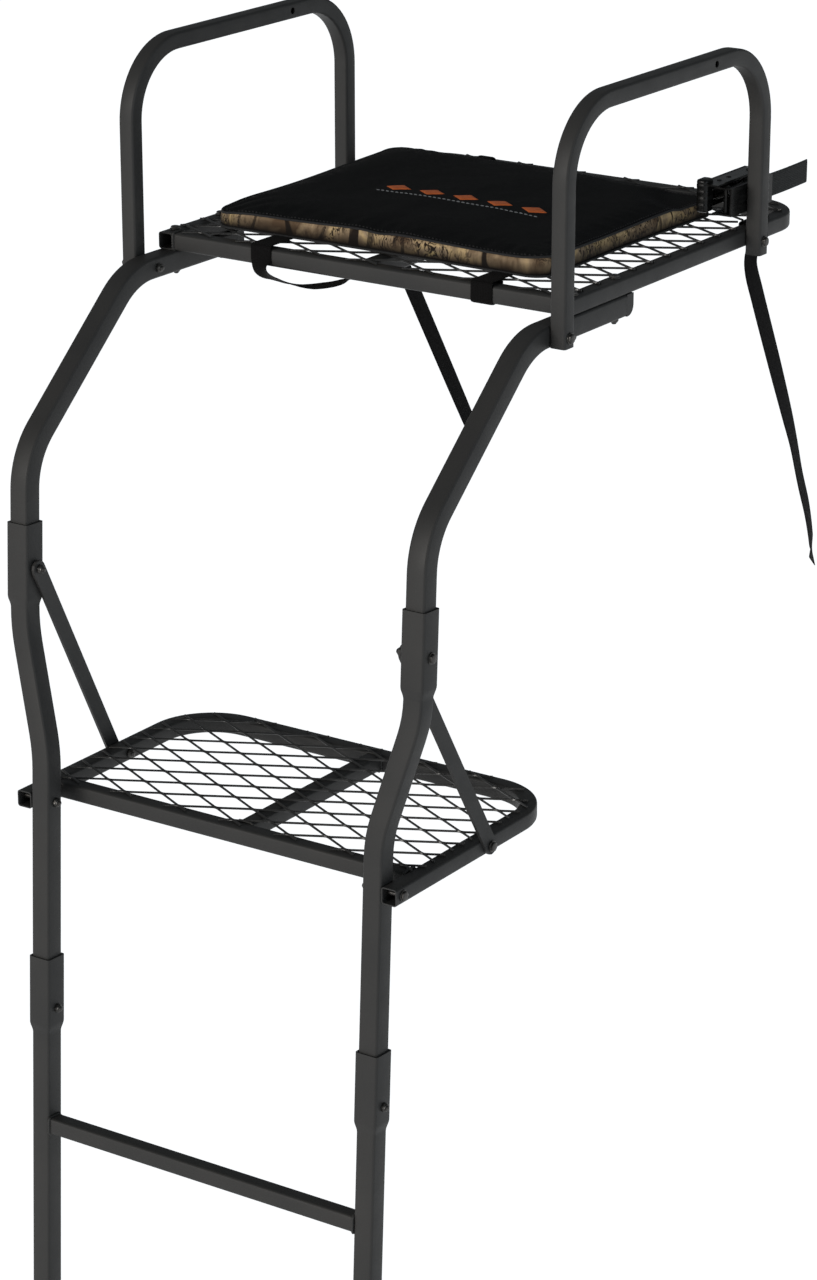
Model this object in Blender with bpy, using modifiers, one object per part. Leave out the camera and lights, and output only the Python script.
"""A two-rail ladder tree stand: ladder sections, foot platform, bowed seat rails, seat, armrests and straps.

Everything is modelled in the stand's own frame, X to the right, Y towards the tree and Z up, with Y = 0 on
the ladder's line and Z = 0 on the platform's top edge. One empty then moves the stand so that the world
origin is the middle of the seat frame's rear face, where it bears on the tree. Metres throughout.
"""

import math

import bmesh
import bpy
from mathutils import Matrix, Vector

# Tube stock and clearances
RAIL = 0.025
RAIL_WALL = 0.002
FRAME = 0.020
FRAME_WALL = 0.0015
CORNER = 0.003
GAP = 0.0003
PLUG_PLAY = 0.0010
SWAGE = 1.2
ARC_STEP = math.radians(18.5)

# Ladder
LEAN = math.radians(2.72)
HALF_LOWER = 0.230
SECTION_PITCH = 1.200
SECTION_COUNT = 3
RUNG_PITCH = 0.400
RUNGS_PER_SECTION = 3
FIRST_SLEEVE_TOP = -0.201
SLEEVE_LENGTH = 0.082
SWAGE_TAPER = 0.010
LADDER_BOLT_DROP = 0.063
SHOE_HALF_X = 0.016
SHOE_HALF_Y = 0.018
SHOE_THICK = 0.014
PLUG_REACH = 0.030

# Platform
PLATFORM_REAR = 0.329
PLATFORM_BEND = 0.070
PLATFORM_TUBE_Y = 0.043
PLATFORM_BAR_X = 0.013
PLATFORM_CELL = (0.077, 0.038)

# Expanded metal
MESH_THICK = 0.0025
STRAND = 0.0032
MESH_EDGE = 0.003

# Rails between platform and seat
HALF_UPPER = 0.269
KINK_LOW = 0.050
KINK_HIGH = 0.190
KINK_BACK = 0.010
KINK_RADIUS = 0.16
UPPER_SLEEVE_LOW = 0.227
UPPER_SLEEVE_TOP = 0.313
UPPER_BOLT_Z = 0.260
RAIL_BEND_Z = 0.388
RAIL_BEND_RADIUS = 0.090
SLANT_END_Y = 0.2238
TAIL_END_Y = 0.418
TAIL_PLUG_LENGTH = 0.014
TAIL_PLUG_ROUND = 0.0115

# Struts
STRUT_WIDTH = 0.020
STRUT_THICK = 0.0035
STRUT_FOOT_Y = 0.170
STRUT_STANDOFF = 0.0022
STRUT_LEG_GAP = 0.0008

# Seat
SEAT_MID_Z = 0.5805
SEAT_FRONT = 0.299
SEAT_REAR = 0.842
SEAT_BEND = 0.057
SEAT_CELL = (0.105, 0.052)
SEAT_BOLTS_Y = (0.318, 0.407)
CUSHION_X = (-0.238, 0.220)
CUSHION_Y = (0.343, 0.7245)
CUSHION_TOP = 0.6160

# Armrests
ARM_FRONT_Y = 0.2645
ARM_REAR_Y = 0.693
ARM_TOP_Z = 0.806
ARM_FRONT_FOOT_Z = 0.5465
ARM_REAR_FOOT_Z = 0.562
ARM_BEND = 0.083
ARM_HOLE_Y = 0.571
ARM_HOLE_RADIUS = 0.004
ARM_REAR_BOLT_Z = SEAT_MID_Z - 0.0025

# Webbing
WEB_WIDTH = 0.028
WEB_THICK = 0.0012
CUSHION_STRAPS_X = {"left": -0.134, "right": 0.166}
STABILIZER_Y = 0.722
STABILIZER_REACH = 0.0145
STABILIZER_TIP = (0.234, 0.962, 0.112)
STABILIZER_SHARE = {"left": 0.83, "right": 1.0}  # how far towards that tip each strap reaches
STABILIZER_HALF = 0.0098
LOOP_THICK = 0.0015

# Bolts
BOLT_RADIUS = 0.003
BOLT_CLEARANCE = 0.0004
BOLT_OVERHANG = 0.002
BOLT_PASS = 0.02
HEAD_WIDTH = 0.010
HEAD_THICK = 0.004
NUT_THICK = 0.005

# Ratchet buckle, in its own frame from the spool's axis: u forwards, v towards the cushion, w up
SPOOL_PLACE = (0.2615, 0.735, 0.629)
PLATE = 0.002
NOSE = -0.012
BASE_LENGTH = 0.085
BASE_BACK = -0.0195
BASE_FRONT = 0.006
BASE_HALF = 0.0166
ANCHOR_PIN = (0.077, -0.008)
SPOOL_RADIUS = 0.0062
SPOOL_HOLE = 0.0068
SPOOL_HALF = 0.0225
WHEEL_RADIUS = 0.0145
WHEEL_ROOT = 0.78
WHEEL_TEETH = 12
WHEEL_OUT = 0.0190
HANDLE_LENGTH = 0.098
HANDLE_LOW = -0.008
HANDLE_BACK = 0.0170
HANDLE_HALF = 0.0215
HANDLE_NECK = 0.036
GRIP_LENGTH = 0.016
GRIP_TOP = 0.0245
GRIP_FOOT = -0.0112
WOUND_RADIUS = 0.0080
WOUND_LAYER = 0.0018
STRAP_REACH = 0.114

SIDES = {"left": -1.0, "right": 1.0}
SEAT_TUBE_X = HALF_UPPER + RAIL / 2 - FRAME / 2
ARM_X = HALF_UPPER + RAIL / 2 + GAP + FRAME / 2
LEG_X = HALF_LOWER + RAIL / 2 + GAP + FRAME / 2
SEAT_LOW_Z = SEAT_MID_Z - FRAME / 2
TAIL_Z = SEAT_LOW_Z - GAP - RAIL / 2
SEAT_MESH_Z = SEAT_MID_Z + FRAME / 2 + GAP
LADDER_LENGTH = SECTION_PITCH * SECTION_COUNT - FIRST_SLEEVE_TOP
SHOE_TOP_Z = -LADDER_LENGTH * math.cos(LEAN) - RAIL / 2 * math.sin(LEAN) - GAP


def clear_scene():
    for item in list(bpy.data.objects):
        bpy.data.objects.remove(item, do_unlink=True)


def new_collection(name, hidden=False):
    collection = bpy.data.collections.new(name)
    bpy.context.scene.collection.children.link(collection)
    collection.hide_render = hidden
    return collection


clear_scene()
PARTS = new_collection("ladder_tree_stand")
CUTTERS = new_collection("cutters", hidden=True)


def new_empty(name, location=(0, 0, 0), rotation=(0, 0, 0), parent=None):
    empty = bpy.data.objects.new(name, None)
    empty.location = location
    empty.rotation_euler = rotation
    empty.parent = parent
    PARTS.objects.link(empty)
    return empty


STAND = new_empty("stand_frame", (0.0, -SEAT_REAR, -SEAT_MID_Z))
LADDER = new_empty("ladder_line", rotation=(-LEAN, 0, 0), parent=STAND)


def new_material(name, color, roughness, metallic=0.0):
    material = bpy.data.materials.new(name)
    material.use_nodes = True
    shader = material.node_tree.nodes["Principled BSDF"]
    shader.inputs["Base Color"].default_value = (*color, 1.0)
    shader.inputs["Roughness"].default_value = roughness
    shader.inputs["Metallic"].default_value = metallic
    return material


MATERIALS = {
    "powder_coat": new_material("powder_coat", (0.045, 0.045, 0.044), 0.5, 0.3),
    "expanded_metal": new_material("expanded_metal", (0.014, 0.014, 0.014), 0.55, 0.3),
    "zinc_black": new_material("zinc_black", (0.012, 0.012, 0.012), 0.3, 0.8),
    "plastic": new_material("plastic", (0.010, 0.010, 0.010), 0.45),
    "webbing": new_material("webbing", (0.010, 0.010, 0.010), 0.85),
    "cushion_fabric": new_material("cushion_fabric", (0.010, 0.011, 0.012), 0.8),
}


# ---------------------------------------------------------------- building blocks


def add_part(name, mesh, material, parent=STAND, smooth=False):
    part = bpy.data.objects.new(name, mesh)
    part.parent = parent
    mesh.materials.clear()
    mesh.materials.append(MATERIALS[material])
    if smooth:
        mesh.shade_smooth()
        mesh.set_sharp_from_angle(angle=math.radians(40))
    PARTS.objects.link(part)
    return part


def add_cutter(name, mesh, parent):
    cutter = bpy.data.objects.new(name, mesh)
    cutter.parent = parent
    cutter.hide_render = True
    cutter.display_type = "WIRE"
    CUTTERS.objects.link(cutter)
    return cutter


def boolean(part, other, operation="DIFFERENCE"):
    modifier = part.modifiers.new(other.name, "BOOLEAN")
    modifier.operation = operation
    modifier.solver = "EXACT"
    modifier.object = other


def mesh_from(build, name):
    """A mesh made by the function build, which fills an empty bmesh."""
    work = bmesh.new()
    build(work)
    mesh = bpy.data.meshes.new(name)
    work.to_mesh(mesh)
    work.free()
    return mesh


def box_mesh(name, low, high, turn=None):
    low, high = Vector(low), Vector(high)

    def build(work):
        size = high - low
        bmesh.ops.create_cube(work, size=1.0, matrix=Matrix.Diagonal((*size, 1.0)))
        bmesh.ops.translate(work, verts=work.verts, vec=(low + high) / 2)
        if turn:
            bmesh.ops.transform(work, matrix=turn, verts=work.verts)

    return mesh_from(build, name)


def prism_mesh(name, outline, lift, place=None):
    """The flat outline, given as 3D points, carried along lift into a closed prism."""

    def build(work):
        face = work.faces.new([work.verts.new(point) for point in outline])
        made = bmesh.ops.extrude_face_region(work, geom=[face])["geom"]
        moved = [item for item in made if isinstance(item, bmesh.types.BMVert)]
        bmesh.ops.translate(work, verts=moved, vec=lift)
        if place:
            bmesh.ops.transform(work, matrix=place, verts=work.verts)
        bmesh.ops.recalc_face_normals(work, faces=work.faces)

    return mesh_from(build, name)


def rod_mesh(name, start, end, radius, sides=8, phase=0.0):
    """A closed prism or cylinder from start to end."""
    start, end = Vector(start), Vector(end)
    axis = end - start

    def build(work):
        place = Matrix.Translation((start + end) / 2) @ axis.to_track_quat("Z", "Y").to_matrix().to_4x4()
        bmesh.ops.create_cone(
            work,
            cap_ends=True,
            segments=sides,
            radius1=radius,
            radius2=radius,
            depth=axis.length,
            matrix=place @ Matrix.Rotation(phase, 4, "Z"),
        )

    return mesh_from(build, name)


def drill(part, name, start, end, radius=BOLT_RADIUS + BOLT_CLEARANCE, parent=STAND):
    boolean(part, add_cutter(name, rod_mesh(name, start, end, radius), parent))


def rounded_path(corners, radius):
    """The planar polyline through corners, with each inner corner replaced by an arc of this radius."""
    points = [Vector(corners[0])]
    for before, corner, after in zip(corners, corners[1:], corners[2:]):
        corner = Vector(corner)
        inward = (corner - Vector(before)).normalized()
        outward = (Vector(after) - corner).normalized()
        bend = inward.angle_signed(outward)
        reach = radius * math.tan(abs(bend) / 2)
        steps = max(2, math.ceil(abs(bend) / ARC_STEP))
        side = math.copysign(1.0, bend)
        normal = Vector((inward.y, -inward.x)) * side
        centre = corner - inward * reach + normal * radius
        for step in range(steps + 1):
            turned = Matrix.Rotation(-bend * step / steps, 2) @ (-normal * radius)
            points.append(centre + turned)
    points.append(Vector(corners[-1]))
    return points


def section_profile(size, turn):
    """A closed curve: the tube's rounded-square section, turned in its own plane."""
    half = size / 2
    curve = bpy.data.curves.new("section", "CURVE")
    curve.dimensions = "2D"
    spline = curve.splines.new("POLY")
    outline = []
    for quarter in range(4):
        corner = Matrix.Rotation(quarter * math.pi / 2, 2) @ Vector((half - CORNER, half - CORNER))
        for step in range(3):
            angle = quarter * math.pi / 2 + step * math.pi / 4
            outline.append(corner + CORNER * Vector((math.cos(angle), math.sin(angle))))
    spline.points.add(len(outline) - 1)
    for point, place in zip(spline.points, outline):
        turned = Matrix.Rotation(turn, 2) @ place
        point.co = (turned.x, turned.y, 0.0, 1.0)
    spline.use_cyclic_u = True
    profile = bpy.data.objects.new("section", curve)
    bpy.context.scene.collection.objects.link(profile)
    return profile


def swept_mesh(name, path, size, turn=0.0, scales=None):
    """The open skin of a square tube along a planar path, as a mesh."""
    curve = bpy.data.curves.new(name, "CURVE")
    curve.dimensions = "2D"
    curve.fill_mode = "NONE"
    curve.bevel_mode = "OBJECT"
    profile = section_profile(size, turn)
    curve.bevel_object = profile
    spline = curve.splines.new("POLY")
    spline.points.add(len(path) - 1)
    for index, (point, place) in enumerate(zip(spline.points, path)):
        point.co = (place[0], place[1], 0.0, 1.0)
        point.radius = scales[index] if scales else 1.0
    holder = bpy.data.objects.new(name, curve)
    bpy.context.scene.collection.objects.link(holder)
    graph = bpy.context.evaluated_depsgraph_get()
    mesh = bpy.data.meshes.new_from_object(holder.evaluated_get(graph))
    bpy.data.objects.remove(holder, do_unlink=True)
    bpy.data.objects.remove(profile, do_unlink=True)
    work = bmesh.new()
    work.from_mesh(mesh)
    bmesh.ops.remove_doubles(work, verts=work.verts, dist=1e-6)
    bmesh.ops.recalc_face_normals(work, faces=work.faces)
    work.to_mesh(mesh)
    work.free()
    mesh.name = name
    return mesh


def add_tube(name, path, size, wall, parent=STAND, place=None, turn=0.0, scales=None):
    """A hollow square tube with open ends. place maps the path's plane into the parent's frame."""
    mesh = swept_mesh(name, path, size, turn, scales)
    if place:
        mesh.transform(place)
    part = add_part(name, mesh, "powder_coat", parent, smooth=True)
    shell = part.modifiers.new("wall", "SOLIDIFY")
    shell.thickness = wall
    shell.offset = -1.0
    shell.use_even_offset = True
    return part


def side_plane(x, y=0.0, z=0.0):
    """Maps a path's (u, v) to (x, y + u, z + v), a plane that faces sideways."""
    return Matrix.Translation((x, y, z)) @ Matrix(((0, 0, 1, 0), (1, 0, 0, 0), (0, 1, 0, 0), (0, 0, 0, 1)))


def cross_plane(y, z):
    """Maps a path's (u, v) to (u, y, z + v), a plane that faces the front."""
    return Matrix.Translation((0, y, z)) @ Matrix(((1, 0, 0, 0), (0, 0, -1, 0), (0, 1, 0, 0), (0, 0, 0, 1)))


def level_plane(z):
    return Matrix.Translation((0, 0, z))


def add_bolt(name, head, tip, parent=STAND):
    """A hexagon bolt with its nut. head and tip are the outer faces of what it clamps, along its axis."""
    head, tip = Vector(head), Vector(tip)
    along = (tip - head).normalized()
    head_out = head - along * (GAP + HEAD_THICK)
    nut_in = tip + along * GAP
    hexagon = HEAD_WIDTH / math.sqrt(3)
    overhang = along * BOLT_OVERHANG
    bolt = add_part(name, rod_mesh(name, head_out, head - along * GAP, hexagon, 6), "zinc_black", parent)
    shank_end = nut_in + along * NUT_THICK + overhang
    shank = rod_mesh("shank", head - along * 2 * BOLT_OVERHANG, shank_end, BOLT_RADIUS)
    nut = rod_mesh("nut", nut_in, nut_in + along * NUT_THICK, hexagon, 6)
    boolean(bolt, add_cutter(name + "_shank", shank, parent), "UNION")
    boolean(bolt, add_cutter(name + "_nut", nut, parent), "UNION")
    return bolt


# ---------------------------------------------------------------- ladder


def add_ladder_section(number):
    top = FIRST_SLEEVE_TOP - SECTION_PITCH * (number - 1)
    bottom = top - SECTION_PITCH
    last = number == SECTION_COUNT
    if not last:
        bottom -= SLEEVE_LENGTH - 0.004
    sleeve_end = top - SLEEVE_LENGTH
    path = [(0, bottom), (0, sleeve_end - SWAGE_TAPER), (0, sleeve_end), (0, top)]
    scales = [1.0, 1.0, SWAGE, SWAGE]
    for side, sign in SIDES.items():
        name = f"ladder_{number}_rail_{side}"
        rail = add_tube(name, path, RAIL, RAIL_WALL, LADDER, side_plane(sign * HALF_LOWER), scales=scales)
        if last:
            add_foot_cap(side, sign, bottom)
        for bolt_z in [top - LADDER_BOLT_DROP] + ([] if last else [top - SECTION_PITCH - LADDER_BOLT_DROP]):
            outer = sign * (HALF_LOWER + RAIL)
            inner = sign * (HALF_LOWER - RAIL)
            drill(rail, f"{name}_hole_{bolt_z:.2f}", (inner, 0, bolt_z), (outer, 0, bolt_z), parent=LADDER)
    reach = HALF_LOWER - RAIL / 2 - GAP
    for count in range(RUNGS_PER_SECTION):
        rung_top = -RUNG_PITCH * (1 + count + RUNGS_PER_SECTION * (number - 1))
        place = cross_plane((FRAME - RAIL) / 2, rung_top - FRAME / 2)
        name = f"ladder_{number}_rung_{count + 1}"
        add_tube(name, [(-reach, 0), (reach, 0)], FRAME, FRAME_WALL, LADDER, place)


def add_foot_cap(side, sign, rail_bottom):
    """A plastic foot: a level shoe with a plug that goes up into the rail."""
    x = sign * HALF_LOWER
    y = math.tan(LEAN) * SHOE_TOP_Z
    low = (x - SHOE_HALF_X, y - SHOE_HALF_Y, SHOE_TOP_Z - SHOE_THICK)
    high = (x + SHOE_HALF_X, y + SHOE_HALF_Y, SHOE_TOP_Z)
    cap = add_part(f"foot_cap_{side}", box_mesh("shoe", low, high), "plastic")
    half = RAIL / 2 - RAIL_WALL - PLUG_PLAY
    plug_low = (x - half, -half, rail_bottom - SHOE_THICK / 2)
    plug = box_mesh("plug", plug_low, (x + half, half, rail_bottom + PLUG_REACH))
    boolean(cap, add_cutter(f"foot_plug_{side}", plug, LADDER), "UNION")


# ---------------------------------------------------------------- platform


def add_u_frame(name, half, front, rear, bend, mid_z):
    """A tube bent to a U: two legs from the front and a rear bar, with round rear corners."""
    corners = [(-half, front), (-half, rear), (half, rear), (half, front)]
    return add_tube(name, rounded_path(corners, bend), FRAME, FRAME_WALL, place=level_plane(mid_z))


def add_expanded_mesh(name, x_range, y_range, low_z, corner, cell):
    """A sheet with rows of diamond holes, staggered as in expanded metal."""
    long_cell, short_cell = cell
    (x0, x1), (y0, y1) = x_range, y_range
    slope = math.hypot(long_cell, short_cell) / long_cell
    half_short = short_cell / 2 - STRAND * slope
    half_long = half_short * long_cell / short_cell
    corners = [(x0, y0), (x0, y1 - corner), (x0 + corner, y1), (x1 - corner, y1), (x1, y1 - corner), (x1, y0)]
    outline = [(x, y, low_z) for x, y in corners]

    def fits(x, y):
        if abs(x - (x0 + x1) / 2) + half_long > (x1 - x0) / 2 - MESH_EDGE:
            return False
        if abs(y - (y0 + y1) / 2) + half_short > (y1 - y0) / 2 - MESH_EDGE:
            return False
        towards_corner = abs(x - (x0 + x1) / 2) + half_long / 2 + y
        return towards_corner < (x1 - x0) / 2 + y1 - corner - MESH_EDGE

    def holes(work):
        columns = math.ceil((x1 - x0) / long_cell) + 1
        rows = math.ceil((y1 - y0) / (short_cell / 2)) + 1
        for row in range(rows):
            y = y0 + row * short_cell / 2
            for column in range(-1, columns):
                x = (x0 + x1) / 2 + (column - columns // 2 + (row % 2) / 2) * long_cell
                if not fits(x, y):
                    continue
                place = Matrix.Translation((x, y, low_z + MESH_THICK / 2))
                size = Matrix.Diagonal((half_long, half_short, MESH_THICK * 2, 1))
                bmesh.ops.create_cone(
                    work, cap_ends=True, segments=4, radius1=1, radius2=1, depth=1, matrix=place @ size
                )

    sheet = add_part(name, prism_mesh(name, outline, (0, 0, MESH_THICK)), "expanded_metal")
    boolean(sheet, add_cutter(name + "_holes", mesh_from(holes, name + "_holes"), STAND))
    return sheet


def add_platform():
    frame = add_u_frame(
        "platform_frame", LEG_X, -RAIL / 2, PLATFORM_REAR - FRAME / 2, PLATFORM_BEND, -FRAME / 2
    )
    reach = LEG_X - FRAME / 2 - GAP
    front = cross_plane(PLATFORM_TUBE_Y, -FRAME / 2)
    add_tube("platform_front_tube", [(-reach, 0), (reach, 0)], FRAME, FRAME_WALL, place=front)
    ends = (PLATFORM_TUBE_Y + FRAME / 2 + GAP, PLATFORM_REAR - FRAME - GAP)
    add_tube(
        "platform_centre_bar",
        [(ends[0], 0), (ends[1], 0)],
        FRAME,
        FRAME_WALL,
        place=side_plane(PLATFORM_BAR_X, 0, -FRAME / 2),
    )
    margin = FRAME / 2
    add_expanded_mesh(
        "platform_mesh",
        (-LEG_X + margin - 0.005, LEG_X - margin + 0.005),
        (PLATFORM_TUBE_Y - margin, PLATFORM_REAR - margin),
        GAP,
        PLATFORM_BEND * 0.5,
        PLATFORM_CELL,
    )
    for side, sign in SIDES.items():
        inner, outer = sign * (HALF_LOWER - RAIL / 2), sign * (LEG_X + FRAME / 2)
        z = -FRAME / 2
        for label, y in (("platform_leg", 0), ("strut_foot", STRUT_FOOT_Y)):
            start, end = sign * (LEG_X - BOLT_PASS), sign * (LEG_X + BOLT_PASS)
            drill(frame, f"{label}_hole_{side}", (start, y, z), (end, y, z))
        add_bolt(f"platform_bolt_{side}", (outer, 0, z), (inner, 0, z))


# ---------------------------------------------------------------- rails above the platform


def kink_angle():
    return math.atan2(KINK_BACK, HALF_UPPER - HALF_LOWER)


def add_platform_rail(side, sign):
    """The rail that the platform bolts to: it bends outwards above the platform and ends in a socket."""
    shift = math.hypot(HALF_UPPER - HALF_LOWER, KINK_BACK)
    bottom = FIRST_SLEEVE_TOP - SLEEVE_LENGTH + 0.004
    top = UPPER_SLEEVE_TOP / math.cos(LEAN)
    low = UPPER_SLEEVE_LOW / math.cos(LEAN)
    corners = [(0, bottom), (0, KINK_LOW), (shift, KINK_HIGH), (shift, low - SWAGE_TAPER)]
    path = rounded_path(corners, KINK_RADIUS)
    scales = [1.0] * len(path) + [SWAGE, SWAGE]
    path += [Vector((shift, low)), Vector((shift, top))]
    spin = kink_angle()
    plane = Matrix.Translation((sign * HALF_LOWER, 0, 0)) @ Matrix.Rotation(sign * spin, 4, "Z")
    upright = Matrix(((sign, 0, 0, 0), (0, 0, -sign, 0), (0, 1, 0, 0), (0, 0, 0, 1)))
    name = f"platform_rail_{side}"
    rail = add_tube(
        name, path, RAIL, RAIL_WALL, LADDER, plane @ upright, turn=sign * spin, scales=scales
    )
    inner, outer = sign * (HALF_LOWER - RAIL), sign * (HALF_LOWER + RAIL)
    socket = FIRST_SLEEVE_TOP - LADDER_BOLT_DROP
    drill(rail, name + "_socket_hole", (inner, 0, socket), (outer, 0, socket), parent=LADDER)
    drill(rail, name + "_leg_hole", (inner, 0, -FRAME / 2), (outer, 0, -FRAME / 2))
    bolt_y = upper_axis_y(UPPER_BOLT_Z)
    inner, outer = sign * (HALF_UPPER - BOLT_PASS), sign * (HALF_UPPER + BOLT_PASS)
    drill(rail, name + "_top_hole", (inner, bolt_y, UPPER_BOLT_Z), (outer, bolt_y, UPPER_BOLT_Z))


def upper_axis_y(z):
    """Y of the upper socket's axis at height z."""
    return KINK_BACK * math.cos(LEAN) + z * math.tan(LEAN)


def add_upper_rail(side, sign):
    """The bowed rail: up out of its socket, back on a slant, then level under the seat frame."""
    foot = UPPER_SLEEVE_LOW + 0.006
    corners = [
        (upper_axis_y(foot), foot),
        (upper_axis_y(RAIL_BEND_Z), RAIL_BEND_Z),
        (SLANT_END_Y, TAIL_Z),
        (TAIL_END_Y, TAIL_Z),
    ]
    name = f"upper_rail_{side}"
    path = rounded_path(corners, RAIL_BEND_RADIUS)
    rail = add_tube(name, path, RAIL, RAIL_WALL, place=side_plane(sign * HALF_UPPER))
    inner, outer = sign * (HALF_UPPER - BOLT_PASS), sign * (HALF_UPPER + BOLT_PASS)
    bolt_y = upper_axis_y(UPPER_BOLT_Z)
    drill(rail, name + "_socket_hole", (inner, bolt_y, UPPER_BOLT_Z), (outer, bolt_y, UPPER_BOLT_Z))
    drill(rail, name + "_arm_hole", (inner, ARM_FRONT_Y, TAIL_Z), (outer, ARM_FRONT_Y, TAIL_Z))
    for number, y in enumerate(SEAT_BOLTS_Y):
        x = sign * SEAT_TUBE_X
        drill(rail, f"{name}_seat_hole_{number}", (x, y, TAIL_Z - BOLT_PASS), (x, y, TAIL_Z + BOLT_PASS))
    add_tail_plug(side, sign)


def add_tail_plug(side, sign):
    """Closes the rail's rear end, with a round lower corner."""
    half = RAIL / 2
    x = sign * HALF_UPPER
    start = TAIL_END_Y + GAP
    end = start + TAIL_PLUG_LENGTH
    path = rounded_path([(start, -half), (end, -half), (end, half)], TAIL_PLUG_ROUND)
    outline = [(x - half, point.x, TAIL_Z + point.y) for point in [Vector((start, half))] + path]
    cap_mesh = prism_mesh("rail_end_cap", outline, (RAIL, 0, 0))
    cap = add_part(f"rail_end_cap_{side}", cap_mesh, "powder_coat")
    inset = half - RAIL_WALL - PLUG_PLAY
    low = (x - inset, TAIL_END_Y - 0.003, TAIL_Z - inset)
    high = (x + inset, start + 0.001, TAIL_Z + inset)
    boolean(cap, add_cutter(f"rail_end_plug_{side}", box_mesh("plug", low, high), STAND), "UNION")


def add_strut(side, sign):
    """A flat bar from inside the upper socket down to the outside of the platform's leg."""
    thick = STRUT_THICK
    head_x = HALF_UPPER - SWAGE * RAIL / 2 - STRUT_STANDOFF - thick / 2
    head = Vector((head_x, upper_axis_y(UPPER_BOLT_Z), UPPER_BOLT_Z))
    foot = Vector((LEG_X + FRAME / 2 + STRUT_LEG_GAP + thick / 2, STRUT_FOOT_Y, -FRAME / 2))
    length = (foot - head).length
    down = (foot - head).normalized()
    across = Vector((1, 0, 0)) - down * down.x
    across.normalize()
    axes = Matrix((down, down.cross(across), across)).transposed().to_4x4()
    place = Matrix.Diagonal((sign, 1, 1, 1)) @ Matrix.Translation(head) @ axes
    half = STRUT_WIDTH / 2
    outline = []
    for centre, first_angle in ((length, -math.pi / 2), (0.0, math.pi / 2)):
        for step in range(7):
            angle = first_angle + step * math.pi / 6
            outline.append((centre + half * math.cos(angle), half * math.sin(angle), -thick / 2))
    name = f"strut_{side}"
    strut = add_part(name, prism_mesh(name, outline, (0, 0, thick), place), "powder_coat")
    for label, point in (("top", head), ("foot", foot)):
        start = (sign * (point.x - BOLT_PASS), point.y, point.z)
        end = (sign * (point.x + BOLT_PASS), point.y, point.z)
        drill(strut, f"{name}_{label}_hole", start, end)
    clamp = thick / 2 + 2 * GAP
    socket_outer = sign * (HALF_UPPER + SWAGE * RAIL / 2)
    top_bolt = (socket_outer, head.y, head.z), (sign * (head.x - clamp), head.y, head.z)
    foot_bolt = (sign * (foot.x + clamp), foot.y, foot.z), (sign * (LEG_X - FRAME / 2), foot.y, foot.z)
    add_bolt(f"socket_bolt_{side}", *top_bolt)
    add_bolt(f"strut_bolt_{side}", *foot_bolt)


# ---------------------------------------------------------------- seat and armrests


def add_seat():
    frame = add_u_frame("seat_frame", SEAT_TUBE_X, SEAT_FRONT, SEAT_REAR - FRAME / 2, SEAT_BEND, SEAT_MID_Z)
    reach = SEAT_TUBE_X - FRAME / 2 - GAP
    front = cross_plane(SEAT_FRONT + FRAME / 2, SEAT_MID_Z)
    add_tube("seat_front_tube", [(-reach, 0), (reach, 0)], FRAME, FRAME_WALL, place=front)
    ends = (SEAT_FRONT + FRAME + GAP, SEAT_REAR - FRAME - GAP)
    add_tube(
        "seat_centre_bar", [(ends[0], 0), (ends[1], 0)], FRAME, FRAME_WALL, place=side_plane(0, 0, SEAT_MID_Z)
    )
    inset = SEAT_TUBE_X - FRAME / 2 + 0.004
    deck = add_expanded_mesh(
        "seat_mesh",
        (-inset, inset),
        (SEAT_FRONT + 0.006, SEAT_REAR - FRAME / 2),
        SEAT_MESH_Z,
        SEAT_BEND * 0.5,
        SEAT_CELL,
    )
    notch = WEB_WIDTH / 2 + 0.001
    for side, sign in SIDES.items():
        x = sign * SEAT_TUBE_X
        low = (x - STABILIZER_REACH, STABILIZER_Y - notch, SEAT_MID_Z)
        high = (x + STABILIZER_REACH, STABILIZER_Y + notch, SEAT_MESH_Z + FRAME)
        boolean(deck, add_cutter(f"strap_notch_{side}", box_mesh("notch", low, high), STAND))
        top, low = SEAT_MID_Z + FRAME / 2, TAIL_Z - RAIL / 2
        for number, y in enumerate(SEAT_BOLTS_Y):
            drill(frame, f"seat_frame_hole_{side}_{number}", (x, y, low), (x, y, top + FRAME))
            label = ("front", "rear")[number]
            add_bolt(f"seat_bolt_{label}_{side}", (x, y, top), (x, y, low))
        inner, outer = sign * (SEAT_TUBE_X - BOLT_PASS), sign * (SEAT_TUBE_X + BOLT_PASS)
        bolt_z = ARM_REAR_BOLT_Z
        drill(frame, f"seat_arm_hole_{side}", (inner, ARM_REAR_Y, bolt_z), (outer, ARM_REAR_Y, bolt_z))


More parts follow.
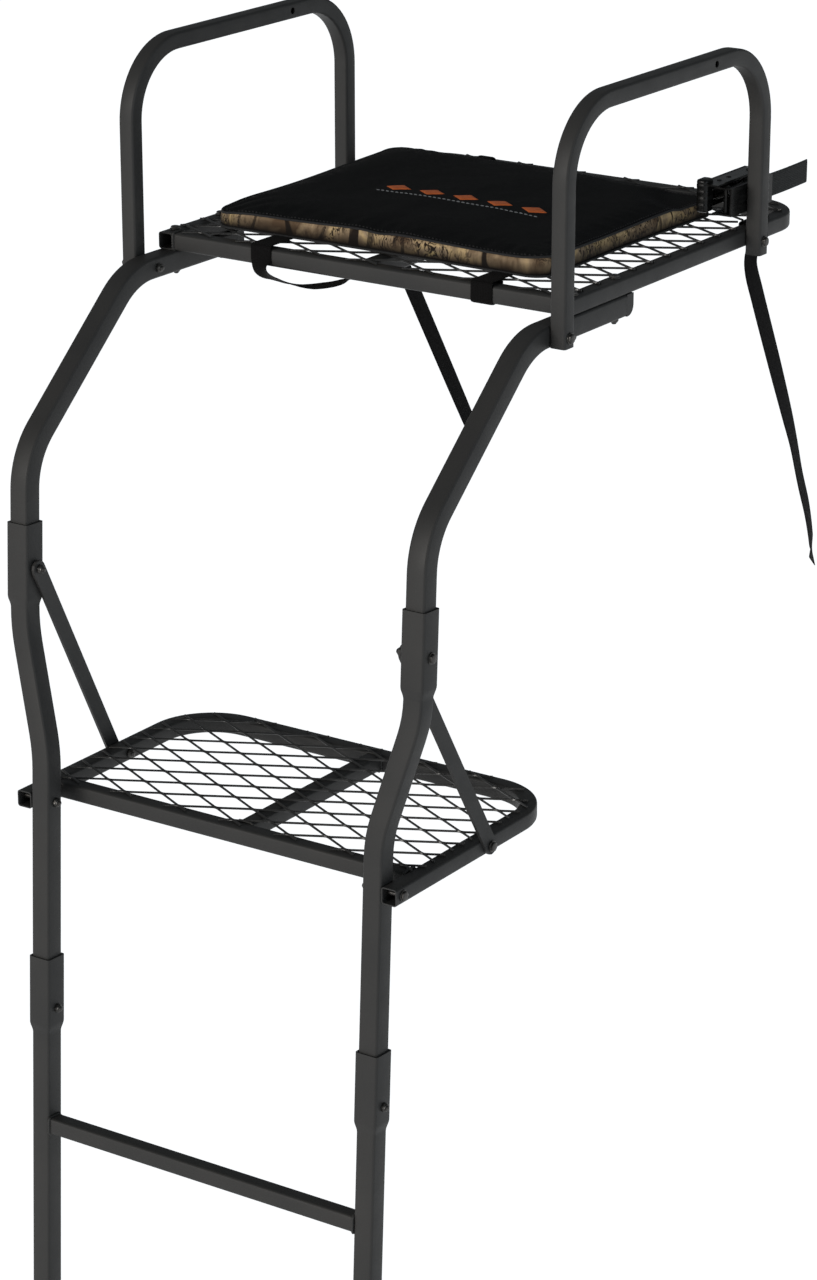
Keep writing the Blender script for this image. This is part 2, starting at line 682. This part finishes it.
def add_armrest(side, sign):
    """A tube bent to an upside-down U, bolted outside the rail tail and the seat frame."""
    corners = [
        (ARM_FRONT_Y, ARM_FRONT_FOOT_Z),
        (ARM_FRONT_Y, ARM_TOP_Z),
        (ARM_REAR_Y, ARM_TOP_Z),
        (ARM_REAR_Y, ARM_REAR_FOOT_Z),
    ]
    name = f"armrest_{side}"
    place = side_plane(sign * ARM_X)
    arm = add_tube(name, rounded_path(corners, ARM_BEND), FRAME, FRAME_WALL, place=place)
    inner, outer = sign * (ARM_X - BOLT_PASS), sign * (ARM_X + BOLT_PASS)
    rear_z = ARM_REAR_BOLT_Z
    drill(arm, name + "_front_hole", (inner, ARM_FRONT_Y, TAIL_Z), (outer, ARM_FRONT_Y, TAIL_Z))
    drill(arm, name + "_rear_hole", (inner, ARM_REAR_Y, rear_z), (outer, ARM_REAR_Y, rear_z))
    top_hole = (inner, ARM_HOLE_Y, ARM_TOP_Z), (outer, ARM_HOLE_Y, ARM_TOP_Z)
    drill(arm, name + "_top_hole", *top_hole, ARM_HOLE_RADIUS)
    face = sign * (ARM_X + FRAME / 2)
    rail_inner = sign * (HALF_UPPER - RAIL / 2)
    tube_inner = sign * (SEAT_TUBE_X - FRAME / 2)
    add_bolt(f"armrest_bolt_front_{side}", (face, ARM_FRONT_Y, TAIL_Z), (rail_inner, ARM_FRONT_Y, TAIL_Z))
    add_bolt(f"armrest_bolt_rear_{side}", (face, ARM_REAR_Y, rear_z), (tube_inner, ARM_REAR_Y, rear_z))


def add_cushion():
    low = (CUSHION_X[0], CUSHION_Y[0], SEAT_MESH_Z + MESH_THICK + GAP)
    high = (CUSHION_X[1], CUSHION_Y[1], CUSHION_TOP)
    cushion = add_part("cushion", box_mesh("cushion", low, high), "cushion_fabric")
    bevel = cushion.modifiers.new("edges", "BEVEL")
    bevel.width = 0.008
    bevel.segments = 2


def add_ribbon(name, path, place, width=WEB_WIDTH, parent=STAND):
    """Webbing along a planar path: an upright band given its thickness both ways."""
    curve = bpy.data.curves.new(name, "CURVE")
    curve.dimensions = "2D"
    curve.fill_mode = "NONE"
    curve.extrude = width / 2
    spline = curve.splines.new("POLY")
    spline.points.add(len(path) - 1)
    for point, at in zip(spline.points, path):
        point.co = (at[0], at[1], 0.0, 1.0)
    holder = bpy.data.objects.new(name, curve)
    bpy.context.scene.collection.objects.link(holder)
    graph = bpy.context.evaluated_depsgraph_get()
    mesh = bpy.data.meshes.new_from_object(holder.evaluated_get(graph))
    bpy.data.objects.remove(holder, do_unlink=True)
    mesh.transform(place)
    band = add_part(name, mesh, "webbing", parent)
    cloth = band.modifiers.new("thickness", "SOLIDIFY")
    cloth.thickness = WEB_THICK
    cloth.offset = 0.0
    return band


def add_cushion_strap(side, x):
    """Webbing that holds the cushion: under the front tube, up its face and back over it to the cushion."""
    under = SEAT_LOW_Z - 0.0015
    over = SEAT_MESH_Z + MESH_THICK + 0.0015
    front = SEAT_FRONT - 0.0015
    rear = CUSHION_Y[0] - 0.002
    corners = [(SEAT_FRONT + FRAME + 0.002, under), (front, under), (front, over), (rear, over)]
    add_ribbon(f"cushion_strap_{side}", rounded_path(corners, 0.003), side_plane(x))


def add_stabilizer_strap(side, sign):
    """Webbing looped round the seat frame behind the armrest, then drawn down and back towards the tree."""
    x = sign * SEAT_TUBE_X
    reach = STABILIZER_REACH
    half = WEB_WIDTH / 2
    thick = LOOP_THICK
    name = f"stabilizer_strap_{side}"
    low = (x - reach + 0.001, STABILIZER_Y - half, SEAT_MID_Z - reach)
    high = (x + reach - 0.001, STABILIZER_Y + half, SEAT_MID_Z + reach)
    strap = add_part(name, box_mesh(name, low, high), "webbing")
    hollow_low = (low[0] + thick, low[1] - 0.01, low[2] + thick)
    hollow_high = (high[0] - thick, high[1] + 0.01, high[2] - thick)
    boolean(strap, add_cutter(name + "_inside", box_mesh("inside", hollow_low, hollow_high), STAND))
    start = Vector((x, STABILIZER_Y, low[2] - thick))
    aim = Vector((sign * STABILIZER_TIP[0], STABILIZER_TIP[1], STABILIZER_TIP[2]))
    tip = start.lerp(aim, STABILIZER_SHARE[side])
    down = (tip - start).normalized()
    flat = Vector((1, 0, 0)) - down * down.x
    flat.normalize()
    frame = Matrix((flat, down.cross(flat), down)).transposed().to_4x4()
    place = Matrix.Translation(start) @ frame
    length = (tip - start).length
    tail_low = (-thick / 2, -STABILIZER_HALF, 0)
    tail = box_mesh("tail", tail_low, (thick / 2, STABILIZER_HALF, length), place)
    boolean(strap, add_cutter(name + "_tail", tail, STAND), "UNION")


# ---------------------------------------------------------------- ratchet buckle


RATCHET = new_empty("ratchet_axis", SPOOL_PLACE, parent=STAND)
# Takes (u, v, w) to the stand's axes: u is -Y, v is -X and w is Z
RATCHET_AXES = Matrix(((0, -1, 0, 0), (-1, 0, 0, 0), (0, 0, 1, 0), (0, 0, 0, 1)))


def ratchet_box(name, low, high):
    """A box given in (u, v, w), as a mesh in the ratchet's frame."""
    corners = [RATCHET_AXES @ Vector(low), RATCHET_AXES @ Vector(high)]
    lowest = [min(pair) for pair in zip(*corners)]
    highest = [max(pair) for pair in zip(*corners)]
    return box_mesh(name, lowest, highest)


def ratchet_rod(name, place, half_length, radius, sides=12):
    """An upright rod at place (u, v), the same length above and below the spool's middle."""
    u, v = place
    start = RATCHET_AXES @ Vector((u, v, -half_length))
    end = RATCHET_AXES @ Vector((u, v, half_length))
    return rod_mesh(name, start, end, radius, sides)


def join(part, name, mesh):
    boolean(part, add_cutter(name, mesh, RATCHET), "UNION")


def cut(part, name, mesh):
    boolean(part, add_cutter(name, mesh, RATCHET))


def add_ratchet_frame():
    """A channel: a back plate with two side plates, the spool's holes, the lock's slots and an anchor pin."""
    low = (NOSE, BASE_BACK, -BASE_HALF)
    back = ratchet_box("plate", low, (BASE_LENGTH, BASE_BACK + PLATE, BASE_HALF))
    frame = add_part("ratchet_frame", back, "zinc_black", RATCHET)
    for label, inner in (("low", -BASE_HALF), ("high", BASE_HALF - PLATE)):
        side = ratchet_box("side", (NOSE, BASE_BACK, inner), (BASE_LENGTH, BASE_FRONT, inner + PLATE))
        join(frame, f"frame_side_{label}", side)
    cut(frame, "frame_spool_hole", ratchet_rod("hole", (0, 0), 2 * BASE_HALF, SPOOL_HOLE))
    slot = ratchet_box("slot", (0.0125, -0.0105, -2 * BASE_HALF), (0.044, -0.0070, 2 * BASE_HALF))
    cut(frame, "frame_pawl_slot", slot)
    join(frame, "frame_anchor_pin", ratchet_rod("pin", ANCHOR_PIN, BASE_HALF - PLATE / 2, 0.003, 8))


def tooth_outline():
    points = []
    pitch = math.tau / WHEEL_TEETH
    for index in range(WHEEL_TEETH):
        points.append((WHEEL_RADIUS, index * pitch))
        points.append((WHEEL_RADIUS * WHEEL_ROOT, (index + 0.15) * pitch))
    return [(reach * math.cos(angle), reach * math.sin(angle)) for reach, angle in points]


def add_ratchet_spool():
    """A slotted core with a toothed wheel outside each side plate."""
    core = ratchet_rod("core", (0, 0), SPOOL_HALF, SPOOL_RADIUS, 16)
    spool = add_part("ratchet_spool", core, "zinc_black", RATCHET)
    for label, low in (("low", -WHEEL_OUT), ("high", WHEEL_OUT - PLATE)):
        wheel = prism_mesh("wheel", [(x, y, low) for x, y in tooth_outline()], (0, 0, PLATE))
        join(spool, f"spool_wheel_{label}", wheel)
    slot = ratchet_box("slot", (-0.02, -WEB_THICK, -0.0142), (0.02, WEB_THICK, 0.0142))
    cut(spool, "spool_slot", slot)


def add_ratchet_handle():
    """Two side plates joined by a web at the neck, a back plate and a grip at the end."""
    inner = HANDLE_HALF - PLATE
    web_v = HANDLE_BACK - PLATE
    top = ratchet_box("top", (NOSE, HANDLE_LOW, inner), (HANDLE_LENGTH, HANDLE_BACK, HANDLE_HALF))
    handle = add_part("ratchet_handle", top, "zinc_black", RATCHET)
    low = ratchet_box("low", (NOSE, HANDLE_LOW, -HANDLE_HALF), (HANDLE_NECK, HANDLE_BACK, -inner))
    join(handle, "handle_low_side", low)
    web = ratchet_box("web", (0.022, web_v, 0.0005 - HANDLE_HALF), (HANDLE_NECK, HANDLE_BACK, inner + 0.0015))
    join(handle, "handle_web", web)
    back_low = (HANDLE_NECK - PLATE, web_v, GRIP_FOOT + 0.0002)
    join(handle, "handle_back", ratchet_box("back", back_low, (HANDLE_LENGTH, HANDLE_BACK, inner + 0.0015)))
    grip_low = (HANDLE_LENGTH - GRIP_LENGTH, 0.0075, GRIP_FOOT)
    grip = ratchet_box("grip", grip_low, (HANDLE_LENGTH, HANDLE_BACK + PLATE, GRIP_TOP))
    join(handle, "handle_grip", grip)
    cut(handle, "handle_spool_hole", ratchet_rod("hole", (0, 0), 2 * HANDLE_HALF, SPOOL_HOLE))


def add_ratchet_pawls():
    """Flat pawls that span both wheels: one slides in the handle, one in the base's slots."""
    drive = ratchet_box("drive", (0.0135, 0.0085, -WHEEL_OUT), (0.041, 0.0085 + PLATE, WHEEL_OUT))
    add_part("ratchet_drive_pawl", drive, "zinc_black", RATCHET)
    lock = ratchet_box("lock", (0.0132, -0.0100, -WHEEL_OUT), (0.038, -0.0100 + PLATE, WHEEL_OUT))
    add_part("ratchet_lock_pawl", lock, "zinc_black", RATCHET)


def add_ratchet_strap():
    """The tree strap: a turn round the spool, then straight back past the seat's rear corner."""
    path = []
    turns = 24
    for step in range(turns + 1):
        angle = math.radians(20 - 380 * step / turns)
        radius = WOUND_RADIUS + WOUND_LAYER * step / turns
        path.append((radius * math.cos(angle), radius * math.sin(angle)))
    path.append((path[-1][0] + GAP, STRAP_REACH))
    add_ribbon("ratchet_strap", path, Matrix.Identity(4), parent=RATCHET)


def main():
    for number in range(1, SECTION_COUNT + 1):
        add_ladder_section(number)
    add_platform()
    add_seat()
    add_cushion()
    for side, sign in SIDES.items():
        add_platform_rail(side, sign)
        add_upper_rail(side, sign)
        add_strut(side, sign)
        add_armrest(side, sign)
        add_cushion_strap(side, CUSHION_STRAPS_X[side])
        add_stabilizer_strap(side, sign)
    add_ratchet_frame()
    add_ratchet_spool()
    add_ratchet_handle()
    add_ratchet_pawls()
    add_ratchet_strap()


main()
